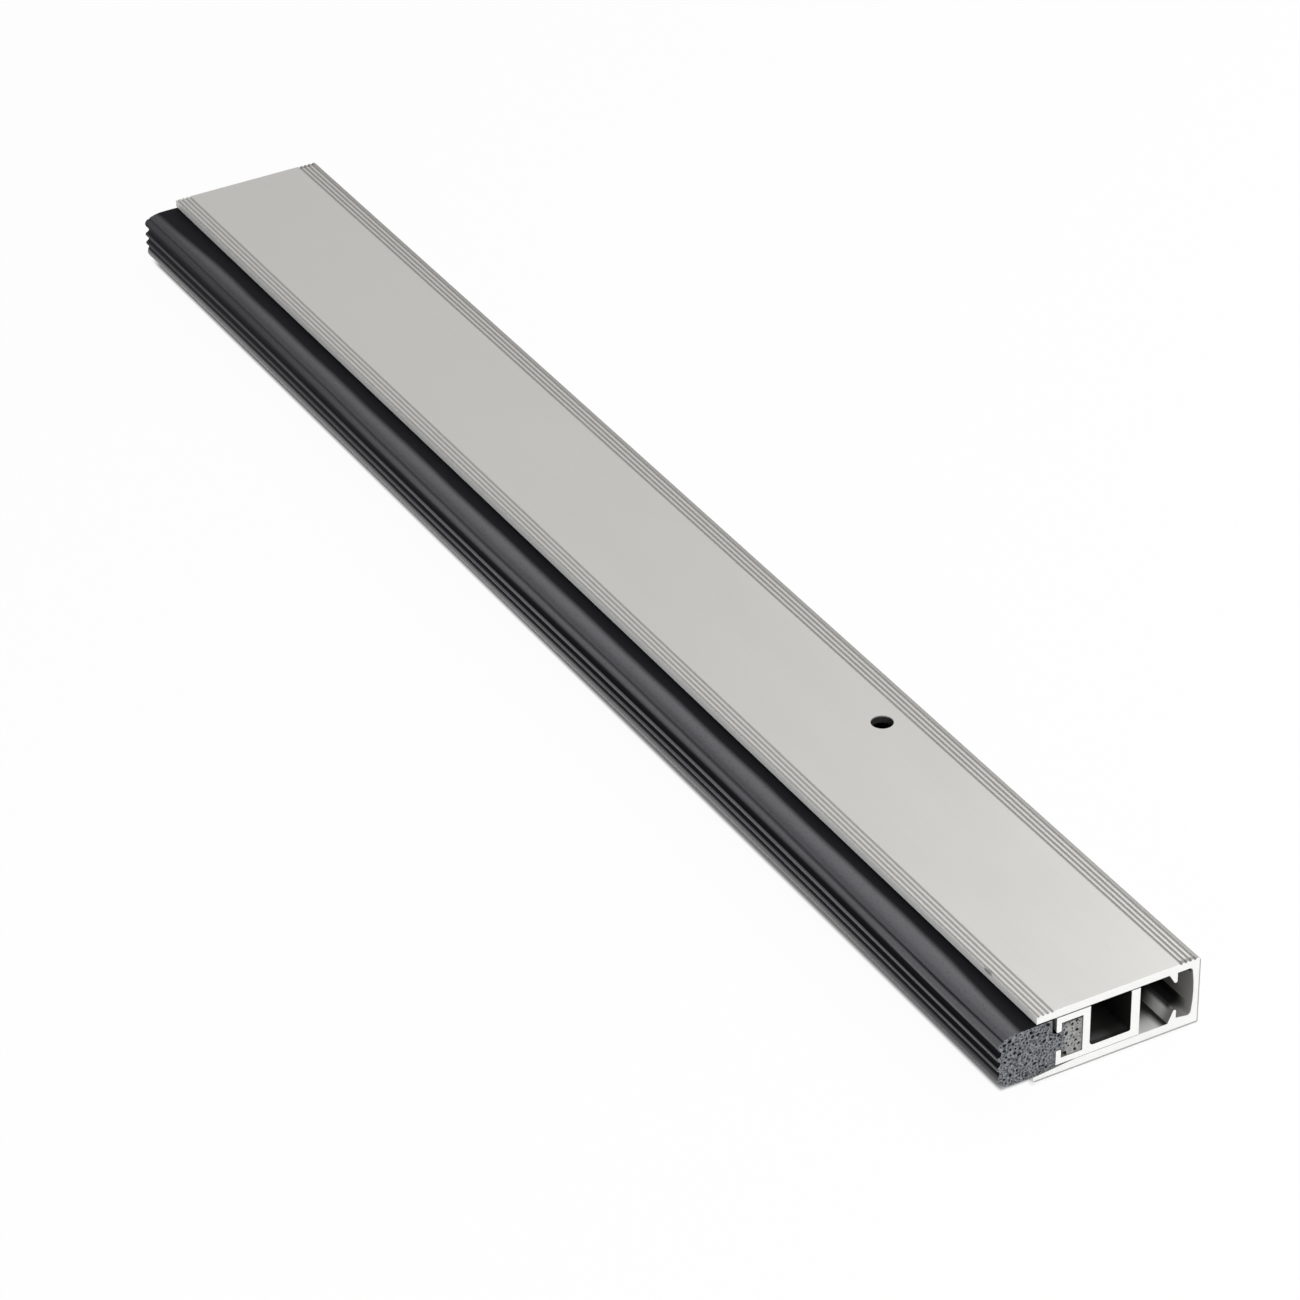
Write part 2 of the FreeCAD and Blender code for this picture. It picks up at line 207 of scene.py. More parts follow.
class ScrewSettings(bpy.types.PropertyGroup):
    """Form and finish of the adjusting screws."""

    plating: colour("Plating", "Bright zinc plating", (0.66, 0.67, 0.69))
    roughness: share("Roughness", "Gloss of the plating", 0.27)
    pitch: length("Pitch", "Thread pitch", 0.8 * MM)
    thread_depth: length("Thread depth", "Crest to root", 0.49 * MM)
    shank_radius: length("Shank radius", "Outside of the thread", 2.5 * MM)
    head_thickness: length("Head thickness", "Flat head", 2.5 * MM)
    edge_cut: length("Edge cut", "Chamfer round the head", 0.5 * MM)
    edge_round: length("Edge round", "Softened edges", 0.08 * MM)
    tip_cut: length("Tip cut", "Chamfer at the tip", 0.7 * MM)
    socket_flat: length("Socket flat", "Half the socket across its flats", 1.5 * MM)
    socket_depth: length("Socket depth", "Hexagon socket", 1.6 * MM)
    socket_cut: length("Socket cut", "Countersink round the socket", 0.16 * MM)
    sides: count("Sides", "Points round the screw, a multiple of six", 48)
    steps_per_turn: count("Steps per turn", "Rings in one turn of the thread", 12)


class StageSettings(bpy.types.PropertyGroup):
    """Camera, floor and lights."""

    aim: FloatVectorProperty(name="Aim", description="Point in the middle of the picture",
                             default=(-7.298 * MM, -26.037 * MM, 6.6 * MM), unit="LENGTH")
    distance: length("Distance", "Camera to the aim", 964.69 * MM)
    azimuth: angle("Azimuth", "Camera round the strip, from behind its near end", -29.436)
    elevation: angle("Elevation", "Camera above the floor", 33.299)
    roll: angle("Roll", "Lean of the camera to its right", 0.706)
    lens: FloatProperty(name="Lens", description="Focal length", default=148.319, unit="CAMERA")
    sensor: FloatProperty(name="Sensor", description="Sensor width", default=36, unit="CAMERA")
    floor_size: length("Floor", "Side of the white floor", 12.0)
    floor_gap: length("Floor gap", "Floor under the strip", 0.02 * MM)
    shadow: share("Shadow", "How much of its own shading the open floor keeps", 0.04)
    contact: length("Contact", "Reach of the dark line where the strip meets the floor", 1.0 * MM)
    overhang: length("Overhang", "Shaded floor under the sponge, past the channel", 4.87 * MM)
    fade: length("Fade", "Where the shaded floor under the sponge fades out", 1.1 * MM)
    room: share("Room light", "Soft light from all round", 0.26)


class Field:
    """One socket of a finish, used in plain Python sums."""

    def __init__(self, recipe, socket):
        self.recipe = recipe
        self.socket = socket

    def __add__(self, other):
        return self.recipe.math("ADD", self, other)

    __radd__ = __add__

    def __mul__(self, other):
        return self.recipe.math("MULTIPLY", self, other)

    __rmul__ = __mul__

    def __sub__(self, other):
        return self.recipe.math("SUBTRACT", self, other)

    def __rsub__(self, other):
        return self.recipe.math("SUBTRACT", other, self)

    def __truediv__(self, other):
        return self.recipe.math("DIVIDE", self, other)

    def __rtruediv__(self, other):
        return self.recipe.math("DIVIDE", other, self)

    def __gt__(self, other):
        return self.recipe.math("GREATER_THAN", self, other)

    def __lt__(self, other):
        return self.recipe.math("LESS_THAN", self, other)

    def __abs__(self):
        return self.recipe.math("ABSOLUTE", self)

    def output(self, name):
        """Give another output of the node that this value comes from."""
        return Field(self.recipe, self.socket.node.outputs[name])

    def clamped(self):
        """Keep the value from 0 to 1."""
        return self.recipe.math("MINIMUM", self.recipe.either(self, 0), 1)

    def between(self, low, high):
        """Give 1 where the value lies between two limits, and 0 elsewhere."""
        return (self > low) * (self < high)

    def ramp(self, low, high):
        """Rise smoothly from 0 at low to 1 at high."""
        return self.recipe.node("ShaderNodeMapRange", {"interpolation_type": "SMOOTHSTEP"},
                                {"Value": self, "From Min": low, "From Max": high})


class Recipe:
    """The node tree of one finish."""

    def __init__(self, tree):
        self.tree = tree
        tree.nodes.clear()

    def node(self, kind, settings=None, sockets=None, output=0):
        """Add a node: settings first, then values or links of its sockets. Give one output."""
        made = self.tree.nodes.new(kind)
        for name, value in (settings or {}).items():
            setattr(made, name, value)
        for name, value in (sockets or {}).items():
            if isinstance(value, Field):
                self.tree.links.new(value.socket, made.inputs[name])
            else:
                made.inputs[name].default_value = value
        return Field(self, made.outputs[output]) if made.outputs else None

    def math(self, operation, *values):
        """Add a Math node."""
        return self.node("ShaderNodeMath", {"operation": operation}, dict(enumerate(values)))

    def vector(self, operation, first, second, output=0):
        """Add a Vector Math node."""
        return self.node("ShaderNodeVectorMath", {"operation": operation},
                         {0: first, 1: second}, output)

    def blend(self, mask, first, second, mode="MIX"):
        """Mix two colours, or a colour and a link, by a mask."""
        first, second = (value if isinstance(value, Field) else (*value, 1)
                         for value in (first, second))
        return self.node("ShaderNodeMix", {"data_type": "RGBA", "blend_type": mode},
                         {0: mask, 6: first, 7: second}, output=2)

    def shaded(self, tone, shade):
        """Make a colour lighter or darker by a number."""
        grey = self.node("ShaderNodeCombineColor", sockets={0: shade, 1: shade, 2: shade})
        return self.blend(1.0, tone, grey, "MULTIPLY")

    def choose(self, mask, first, second):
        """Mix two numbers by a mask."""
        return first + (second - first) * mask

    def either(self, first, *others):
        """Give the largest of several masks."""
        for other in others:
            first = self.math("MAXIMUM", first, other)
        return first

    def place(self):
        """Give the point on the piece, in metres, in the strip's own axes."""
        return self.node("ShaderNodeTexCoord", output="Object")

    def facing(self):
        """Give the direction that the piece's own surface faces."""
        return self.node("ShaderNodeTexCoord", output="Normal")

    def axes(self, vector):
        """Split a vector into its three numbers."""
        split = self.node("ShaderNodeSeparateXYZ", sockets={0: vector})
        return [split.output(name) for name in "XYZ"]

    def inset(self):
        """Give the distance in from the nearer end of the strip."""
        return STRIP_HIGH.y - abs(self.axes(self.place())[1])

    def endwise(self):
        """Give how squarely the surface faces an end of the strip, from 0 to 1."""
        return abs(self.axes(self.facing())[1])

    def distance(self, place, point, weights):
        """Give the distance from a point, with a weight for each axis."""
        offset = self.vector("MULTIPLY", self.vector("SUBTRACT", place, point), weights)
        return self.vector("LENGTH", offset, (0, 0, 0), output="Value")

    def noise(self, place, grain, detail=2.0):
        """Give smooth noise whose grain is so many metres across, along and up."""
        scaled = self.vector("DIVIDE", place, grain)
        return self.node("ShaderNodeTexNoise", {"noise_dimensions": "3D"},
                         {"Vector": scaled, "Scale": 1.0, "Detail": detail})

    def lines(self, value):
        """Give uneven lines that follow one value, about one line for each whole number."""
        return self.node("ShaderNodeTexNoise", {"noise_dimensions": "1D"},
                         {"W": value, "Scale": 1.0, "Detail": 3.0})

    def bump(self, height, rise, under=None):
        """Give a normal raised by a height from 0 to 1, so many metres high."""
        sockets = {"Height": height, "Distance": rise, "Strength": 1.0}
        if under:
            sockets["Normal"] = under
        return self.node("ShaderNodeBump", sockets=sockets)


def new_finish(name, build, settings):
    """Make a material whose Principled sockets come from build(recipe, settings)."""
    material = bpy.data.materials.new(name)
    material.use_nodes = True
    recipe = Recipe(material.node_tree)
    shader = recipe.node("ShaderNodeBsdfPrincipled", sockets=build(recipe, settings))
    recipe.node("ShaderNodeOutputMaterial", sockets={"Surface": shader})
    return material


def sawn_ends(recipe, settings):
    """Give the mask of the sawn ends and the height of their curved saw marks."""
    ends = (recipe.endwise() > FACES_END) * (recipe.inset() < 0.5 * MM)
    blade = (STRIP_LOW.x - 0.3 * settings.blade_radius, 0, -settings.blade_radius)
    swing = recipe.distance(recipe.place(), blade, IN_SECTION)
    return ends, recipe.lines(swing / settings.saw_line)


def extruded_aluminium(recipe, settings, tone, roughness, grain):
    """Give the sockets that both extrusions share: die lines, faint cloudiness and sawn ends."""
    place = recipe.place()
    ends, saw_marks = sawn_ends(recipe, settings)
    lines = recipe.noise(place, (settings.die_line, 60 * MM, settings.die_line), 3.0)
    etch = recipe.noise(place, (0.12 * MM,) * 3, 1.0)
    cloud = recipe.noise(place, (9 * MM, 30 * MM, 9 * MM))
    skin = recipe.shaded(tone, 0.955 + 0.06 * lines + 0.03 * cloud)
    sawn = recipe.blend(saw_marks, tuple(0.9 * part for part in settings.sawn), settings.sawn)
    height = recipe.choose(ends, lines * grain + etch * (1 - grain), saw_marks)
    return {
        "Base Color": recipe.blend(ends, skin, sawn),
        "Metallic": settings.metal,
        "Roughness": recipe.choose(ends, roughness - 0.06 + 0.1 * cloud + 0.04 * lines,
                                   settings.sawn_roughness - 0.05 + 0.1 * saw_marks),
        "Normal": recipe.bump(height, 0.008 * MM),
    }


def worn_and_painted_edges(recipe, settings):
    """Give the masks of the worn bright rims at the ends, of the painted shade along their outer
    edges and of one nick.
    """
    place = recipe.place()
    across, _, up = recipe.axes(place)
    uneven = recipe.noise(place, (0.5 * MM,) * 3)
    rim = 1 - recipe.inset().ramp(0.4 * settings.bright_edge,
                                  settings.bright_edge * 2 * uneven)
    outer = recipe.either(up < CHANNEL_LOW.z + settings.edge_shade_width,
                          across > CHANNEL_HIGH.x - 0.7 * settings.edge_shade_width)
    painted_light_and_shade = outer * (recipe.endwise() > FACES_END)
    nick_place = (CHANNEL_LOW.x + 0.35 * MM, STRIP_LOW.y + settings.nick_along,
                  CHANNEL_HIGH.z - 0.15 * MM)
    weights = (3 / settings.nick_size, 1 / settings.nick_size, 3 / settings.nick_size)
    from_nick = recipe.distance(place, nick_place, weights)
    nick = 1 - (from_nick + 0.5 * uneven).ramp(0.7, 1.3)
    return rim, painted_light_and_shade, nick


def top_shades(recipe):
    """Give the masks of painted shade in the top plate's flutes, and on its back edge and beside
    its end burrs.
    """
    across, _, up = recipe.axes(recipe.place())
    back = CHANNEL_HIGH.x
    top = CHANNEL_HIGH.z
    skin = recipe.endwise() < 0.5
    fluted = skin * (up > top - 0.4 * MM) * (across < back - 0.7 * MM)
    # The painted shade fills the rear flutes up to the tops of their ridges, the front ones a
    # little less.
    rear_lift = (across > 0) * (0.09 * MM)
    flutes = fluted * (1 - (up - rear_lift).ramp(top - 0.2 * MM, top - 0.09 * MM))
    inset = recipe.inset()
    painted_burr_shadows = inset.ramp(0.1 * MM, 0.2 * MM) * (1 - inset.ramp(0.75 * MM, 1.1 * MM))
    painted_burr_shadows = painted_burr_shadows * (across > back - 3.9 * MM)
    edge = across.ramp(back - 1.1 * MM, back - 0.6 * MM)
    painted_back_shade = skin * recipe.either(edge, painted_burr_shadows) * (up > top - 0.75 * MM)
    return flutes, painted_back_shade


def pocket_shades(recipe):
    """Give the masks of the painted light near the pocket's mouth and of the painted shade deep
    inside it.
    """
    place = recipe.place()
    across, _, up = recipe.axes(place)
    facing_up = recipe.axes(recipe.facing())[2]
    inset = recipe.inset()
    pocket = (recipe.endwise() < FACES_END) * across.between(SLIDE_HIGH.x, POCKET_WALL + 0.1 * MM)
    pocket = pocket * up.between(POCKET_FLOOR - 0.05 * MM, PLATE_UNDERSIDE + 0.1 * MM)
    floor = pocket * (facing_up > 0.9) * (across < BARB_ROOT)
    slope_or_crest = recipe.either(facing_up < 0.9, up > BARB_CREST - 0.8 * MM)
    barb = pocket * (facing_up > 0.1) * slope_or_crest * (across < BARB_FACE + 0.3 * MM)
    overhead = pocket * (facing_up < -0.1) * inset.ramp(0.2 * MM, 1.2 * MM)
    # A painted shade line runs along the barb's root; the floor past it gets painted light near
    # the ends.
    from_root = recipe.distance(place, (BARB_ROOT, 0, POCKET_FLOOR), IN_SECTION)
    open_floor = from_root.ramp(0.5 * MM, 2.2 * MM)
    # The barb's flank gets painted light a few millimetres in from its ends, and less on its
    # crest.
    crest = up.ramp(BARB_CREST - 0.6 * MM, BARB_CREST + 0.2 * MM)
    flank = 0.3 + 0.7 * inset.ramp(0.3 * MM, 3.2 * MM)
    flank = flank * (1 - inset.ramp(3.8 * MM, 8.5 * MM))
    flank = flank * (1 - 0.95 * crest * inset.ramp(0.7 * MM, 1.7 * MM))
    painted_light = recipe.either(floor * open_floor * (1 - inset.ramp(0.5 * MM, 6.5 * MM)),
                           barb * flank)
    painted_pocket_shade = recipe.either(floor * (1 - open_floor), barb,
                              pocket * inset.ramp(1.2 * MM, 4.5 * MM), overhead)
    return painted_light, painted_pocket_shade


def hole_wall(recipe):
    """Give the mask of the fixing hole's wall in the top plate, which gets painted shade."""
    across, _, up = recipe.axes(recipe.place())
    upright = abs(recipe.axes(recipe.facing())[2]) < 0.3
    off_the_edges = (abs(across) < 15 * MM) * (recipe.inset() > 1 * MM)
    in_plate = up.between(PLATE_UNDERSIDE - 0.2 * MM, CHANNEL_HIGH.z - 0.25 * MM)
    return upright * off_the_edges * in_plate


def anodised_channel(recipe, settings):
    """Satin anodised skin with worn rims at the ends; painted shade in the flutes, hole and
    pocket, and painted light on the nose.
    """
    sockets = extruded_aluminium(recipe, settings, settings.anodised,
                                 settings.anodised_roughness, 0.35)
    across = recipe.axes(recipe.place())[0]
    facing_across = recipe.axes(recipe.facing())[0]
    rim, painted_light_and_shade, nick = worn_and_painted_edges(recipe, settings)
    flutes, painted_edge_shade = top_shades(recipe)
    painted_light, painted_pocket_shade = pocket_shades(recipe)
    # The nose face is painted light: pale sawn colour and less mirror.
    nose = (facing_across < -0.7) * (across < CHANNEL_LOW.x + 0.5 * MM)
    pale = recipe.either(nose, painted_light)
    shade = recipe.either(flutes * settings.flute_shade, painted_edge_shade * settings.back_shade)
    dark = recipe.either(0.94 * hole_wall(recipe), painted_pocket_shade)
    # Painted shade in the flutes, on the back edge, in the hole and deep in the pocket; painted
    # light near the pocket's mouth.
    skin = recipe.blend(shade, sockets["Base Color"], (0, 0, 0))
    skin = recipe.blend(dark, skin, settings.painted_shade)
    skin = recipe.blend(recipe.either(0.6 * rim, pale), skin, settings.sawn)
    skin = recipe.blend(0.8 * painted_light_and_shade, skin, settings.painted_light_and_shade)
    sockets["Base Color"] = recipe.blend(0.75 * nick, skin, settings.nicked)
    sockets["Metallic"] = settings.metal * (1 - 0.85 * pale)
    sockets["Roughness"] = sockets["Roughness"] + 0.14 * flutes + 0.2 * painted_edge_shade
    sockets["Normal"] = recipe.bump(1 - nick, 0.05 * MM, sockets["Normal"])
    return sockets


def mill_slide(recipe, settings):
    """Bare extruded skin with stronger die lines; painted shade in the open hollow, painted light
    at its mouth.
    """
    sockets = extruded_aluminium(recipe, settings, settings.mill, settings.mill_roughness, 0.75)
    across, _, up = recipe.axes(recipe.place())
    inset = recipe.inset()
    hollow = across.between(SLIDE_LOW.x + 6.3 * MM, SLIDE_HIGH.x - 1.5 * MM)
    hollow = hollow * up.between(SLIDE_LOW.z + 1.2 * MM, SLIDE_HIGH.z - 0.3 * MM)
    inside = hollow * (recipe.endwise() < 0.5)
    level = recipe.axes(recipe.facing())[2] > 0.5
    # The hollow's painted shade darkens towards the right, and its floor at the mouth gets painted
    # light.
    right = across.ramp(0.5 * MM, 4 * MM)
    mouth = (0.3 + 0.7 * inset.ramp(0.5 * MM, 1.1 * MM)) * (1 - inset.ramp(0.8 * MM, 3.4 * MM))
    painted_hollow_shade = recipe.blend(0.5 * right, settings.painted_hollow_shade, (0, 0, 0))
    painted_hollow_shade = recipe.blend(mouth * level * (0.85 - 0.7 * right), painted_hollow_shade, settings.painted_light_and_shade)
    polished = recipe.blend(1.0, sockets["Base Color"], (1.05,) * 3, "MULTIPLY")
    sockets["Base Color"] = recipe.blend(inside, polished, painted_hollow_shade)
    return sockets


def sponge_top(recipe, smudge):
    """Give the mask of the painted sheen on the sponge's rounded top, parted by the crease's
    painted shade.
    """
    across, along, up = recipe.axes(recipe.place())
    run = along - STRIP_LOW.y
    near = 1 - run.ramp(*NEAR_PART)
    far = run.ramp(*FAR_PART)
    # The inner edge of the painted sheen, where the plate's painted shadow begins, wanders, and
    # moves outwards at the strip's ends.
    tucked = 1.05 * MM * (1 - recipe.inset().ramp(-4 * MM, 30 * MM))
    drifted = across + (smudge - 0.5) * (0.6 * MM) + 0.0035 * along + tucked
    crown = 1 - drifted.ramp(CHANNEL_LOW.x - 3.45 * MM, CHANNEL_LOW.x - 1.85 * MM)
    narrowed = run.ramp(18 * MM, 48 * MM)
    bead = up.ramp(BEAD_FOOT + narrowed * (0.2 * MM), BEAD_FOOT + (1 + narrowed) * (0.6 * MM))
    rise = up - CREASE_HEIGHT
    over = 0.5 * rise.ramp(0, 0.25 * MM) + 0.5 * rise.ramp(0.4 * MM, 0.75 * MM)
    under = (CREASE_HEIGHT - up).ramp(0, 0.14 * MM)
    crease = 1 - recipe.either(over, under)
    crease = recipe.choose(near, crease, crease * crease)
    rounded = crown * bead * (1 - (0.7 + 0.28 * near) * crease)
    return rounded * (1 - 0.25 * far - 0.35 * far * under)


def sponge_front(recipe, settings):
    """Give the masks of the painted sheen on the sponge's rib crests and chin, and of the chin's
    painted light.
    """
    across, along, up = recipe.axes(recipe.place())
    run = along - STRIP_LOW.y
    far = run.ramp(*FAR_PART)
    swing = recipe.math("COSINE", run * (math.tau / settings.sway_along))
    swayed = settings.sway * (0.5 - 0.5 * swing)
    behind = (across - swayed - SPONGE_LOW.x) / (0.6 + 0.4 * run.ramp(*NEAR_PART))
    proud = 1 - behind.ramp(0.17 * MM, 0.36 * MM)
    lower_rib = up < RIB_PARTING
    ribs = recipe.either(proud * (1 - 0.58 * far) * (1 - 0.2 * lower_rib), 0.1 * far)
    chin = 1 - up.ramp(CHIN_TOP, CHIN_TOP + 0.7 * MM)
    low_front = chin * (0.5 + 0.5 * run.ramp(10 * MM, 60 * MM)) * (across < CHANNEL_LOW.x)
    return recipe.either(ribs, low_front), chin * run.ramp(10 * MM, 70 * MM)


def sponge_skin(recipe, settings):
    """Smooth black moulded skin with a fine tooth and dust; painted sheen on what stands out,
    painted shade in the grooves, painted light on the chin.
    """
    place = recipe.place()
    tooth = recipe.noise(place, (0.16 * MM, 0.3 * MM, 0.16 * MM))
    drawn = recipe.noise(place, (0.35 * MM, 45 * MM, 0.35 * MM), 3.0)
    grain = recipe.noise(place, (0.3 * MM, 0.8 * MM, 0.3 * MM), 3.0)
    dust = recipe.noise(place, (2.2 * MM, 7 * MM, 2.2 * MM), 4.0).ramp(0.5, 0.8)
    smudge = recipe.noise(place, (3 * MM, 22 * MM, 3 * MM), 3.0)
    front, chin = sponge_front(recipe, settings)
    ribbed = 1 - recipe.axes(place)[2].ramp(RIBS_TOP, RIBS_TOP + 0.5 * MM)
    painted_light = recipe.choose(ribbed, sponge_top(recipe, smudge), front)
    painted_light = painted_light * (0.55 + 0.9 * grain).clamped()
    pale = tuple(1.8 * part for part in settings.skin)
    skin = recipe.blend((0.3 * dust + 0.5 * smudge).clamped(), settings.skin, pale)
    skin = recipe.blend(chin, skin, settings.chin_painted_light)
    return {
        "Base Color": recipe.blend(painted_light, settings.painted_shade_skin, skin),
        "Roughness": recipe.choose(painted_light, 0.7, settings.skin_roughness - 0.05 + 0.12 * tooth),
        "Specular IOR Level": 0.08,
        "Coat Weight": painted_light,
        "Coat Roughness": settings.skin_roughness,
        "Coat IOR": 1.7,
        "Normal": recipe.bump(0.55 * tooth + 0.45 * drawn, 0.022 * MM),
    }


def cut_foam(recipe, settings):
    """Knife-cut foam: pale cell walls and open cells, closer and paler in the foot, with painted
    shade in the pits and at the edges.
    """
    place = recipe.place()
    across, _, up = recipe.axes(place)
    foot = across.ramp(SLIDE_LOW.x + 1.3 * MM, SLIDE_LOW.x + 2 * MM)
    foot_top = SLIDE_HIGH.z - 1.35 * MM
    # Painted shadow along the foot's top and right edges, where it meets the slide.
    edge = recipe.either(0.8 * up.ramp(foot_top - 0.5 * MM, foot_top - 0.15 * MM),
                         0.5 * across.ramp(SPONGE_HIGH.x - 0.4 * MM, SPONGE_HIGH.x))
    # Painted shade low on the cut face, by the channel's base.
    low = 1 - up.ramp(1.8 * MM, 3.2 * MM)
    painted_low_shade = low * across.ramp(CHANNEL_LOW.x - 3 * MM, CHANNEL_LOW.x - 1.6 * MM)
    ridge = 1 - abs(recipe.noise(place, (1.0 * MM,) * 3, 1.0) - 0.5).ramp(0, 0.1)
    mottle = 0.6 * ridge + 0.4 * recipe.noise(place, (0.5 * MM,) * 3).ramp(0.35, 0.65)
    fine = recipe.node("ShaderNodeTexVoronoi", {"feature": "DISTANCE_TO_EDGE"}, {
        "Vector": recipe.vector("DIVIDE", place, (0.3 * MM,) * 3), "Scale": 1.0})
    hole = fine.ramp(0.12, 0.4) * (0.34 - 0.17 * foot) + foot * edge + 0.22 * painted_low_shade
    walls = recipe.blend(foot, settings.foam, settings.foot_foam)
    walls = recipe.shaded(walls, recipe.choose(mottle, 0.38 + 0.32 * foot, 1.5 - 0.22 * foot))
    # The pits are painted dark by their depth, as shade.
    painted_shade = recipe.inset().ramp(0.05 * MM, 0.24 * MM)
    return {
        "Base Color": recipe.blend((painted_shade + hole).clamped(), walls, settings.cell),
        "Roughness": 0.85,
        "Specular IOR Level": 0.3,
        "Normal": recipe.bump(1 - fine.ramp(0.1, 0.5), 0.06 * MM),
    }


def zinc_plating(recipe, settings):
    """Bright zinc over turned steel, with faint rings round the screw's axis."""
    place = recipe.place()
    blotch = recipe.noise(place, (1.1 * MM,) * 3, 3.0)
    turned = recipe.lines(recipe.axes(place)[0] / (0.09 * MM))
    warm = tuple(part * tint for part, tint in zip(settings.plating, (1.02, 0.97, 0.88)))
    return {
        "Base Color": recipe.blend(blotch.ramp(0.45, 0.75), settings.plating, warm),
        "Metallic": 1.0,
        "Roughness": settings.roughness - 0.06 + 0.14 * blotch,
        "Normal": recipe.bump(turned, 0.004 * MM),
    }


def dress(node, material):
    """Give a CAD node its finish."""
    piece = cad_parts[node]
    for holder in piece.material_slots:
        holder.material = material


def new_piece(name, node, vertices, faces, materials, face_materials=None):
    """Make a mesh piece that stands for a CAD node, smooth but for its sharp edges."""
    mesh = bpy.data.meshes.new(name)
    mesh.from_pydata(vertices, [], faces)
    for material in materials:
        mesh.materials.append(material)
    if face_materials:
        mesh.polygons.foreach_set("material_index", face_materials)
    mesh.polygons.foreach_set("use_smooth", [True] * len(mesh.polygons))
    mesh.set_sharp_from_angle(angle=SHARP_ANGLE)
    if mesh.validate():
        raise RuntimeError(f"{name} has faults in its mesh")
    piece = bpy.data.objects.new(name, mesh)
    bpy.context.scene.collection.objects.link(piece)
    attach(piece, BODY_OF[node])
    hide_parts(node)
    return piece


def end_outline(node):
    """Read a node's outline at its near end, as (across, up) points in order, anticlockwise."""
    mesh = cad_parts[node].data
    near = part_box(node)[0].y
    runs = set()
    places = {}
    for polygon in mesh.polygons:
        corners = [mesh.vertices[index].co for index in polygon.vertices]
        if max(corner.y for corner in corners) > near + 0.01 * MM:
            continue
        keys = [(round(corner.x / MM, 4), round(corner.z / MM, 4)) for corner in corners]
        places.update(zip(keys, ((corner.x, corner.z) for corner in corners)))
        for run in zip(keys, keys[1:] + keys[:1]):
            if run[::-1] in runs:
                runs.remove(run[::-1])
            else:
                runs.add(run)
    following = dict(runs)
    key = start = min(following)
    outline = []
    while not outline or key != start:
        outline.append(Vector(places[key]))
        key = following[key]
    area = sum(first.cross(second) for first, second in zip(outline, outline[1:] + outline[:1]))
    return outline if area > 0 else outline[::-1]


def limited(value):
    """Keep a number from 0 to 1."""
    return min(1, max(0, value))


def spaced(outline, step):
    """Divide the runs of a closed outline so that none is longer than a step."""
    points = []
    for first, second in zip(outline, outline[1:] + outline[:1]):
        parts = max(1, math.ceil((second - first).length / step))
        points.extend(first.lerp(second, part / parts) for part in range(parts))
    return points


def softened(outline, times, pull):
    """Round the corners of a closed outline by pulling each point to its neighbours."""
    for _ in range(times):
        outline = [point.lerp((outline[number - 1] + outline[(number + 1) % len(outline)]) / 2,
                              pull) for number, point in enumerate(outline)]
    return outline


def inward_directions(outline):
    """Give the direction into an anticlockwise outline at each of its points."""
    directions = []
    for number in range(len(outline)):
        run = outline[(number + 1) % len(outline)] - outline[number - 1]
        directions.append(Vector((-run.y, run.x)).normalized())
    return directions


def is_inside(point, outline):
    """Tell whether a point is inside a closed outline."""
    inside = False
    for first, second in zip(outline, outline[1:] + outline[:1]):
        if (first.y > point.y) != (second.y > point.y):
            slope = (second.x - first.x) / (second.y - first.y)
            if point.x < first.x + slope * (point.y - first.y):
                inside = not inside
    return inside


def scatter_pores(outline, settings, dice):
    """Scatter (centre, radius) pores inside an outline, clear of it and of each other."""
    low = Vector((min(point.x for point in outline), min(point.y for point in outline)))
    high = Vector((max(point.x for point in outline), max(point.y for point in outline)))
    spread = settings.large_pore - settings.small_pore
    foot = SLIDE_LOW.x + 1.6 * MM
    favour_small = 1.4
    skipped_in_foot = 0.8
    lip = 1.25
    pores = []
    for _ in range(settings.throws):
        centre = Vector((dice.uniform(low.x, high.x), dice.uniform(low.y, high.y)))
        radius = settings.small_pore + spread * dice.random() ** favour_small
        if centre.x > foot and dice.random() < skipped_in_foot:
            continue
        room = radius * lip + settings.pore_wall
        if any((point - centre).length < room for point in outline):
            continue
        if any((other - centre).length < room + size for other, size in pores):
            continue
        if is_inside(centre, outline):
            pores.append((centre, radius))
    return pores


def pore_points(centre, radius, settings, dice):
    """Give the points of one uneven pore as (point, depth): its lip, its wall and its floor."""
    fewest_sides = 7
    added_sides = 5
    sides = fewest_sides + round(added_sides * radius / settings.large_pore)
    oval = dice.uniform(0.08, 0.28)
    lean = dice.uniform(0, math.tau)
    depth = 2 * radius * settings.pore_depth * dice.uniform(0.7, 1.3)
    points = []
    for part, sink in PORE_RINGS:
        for side in range(sides):
            turn = math.tau * side / sides
            reach = radius * part * (1 + oval * math.cos(2 * turn + lean)) / (1 + oval * 0.4)
            edge = Vector((math.cos(turn), math.sin(turn))) * reach
            points.append((centre + edge, depth * sink + dice.uniform(0, settings.cut_unevenness)))
    points.append((centre, depth))
    return points


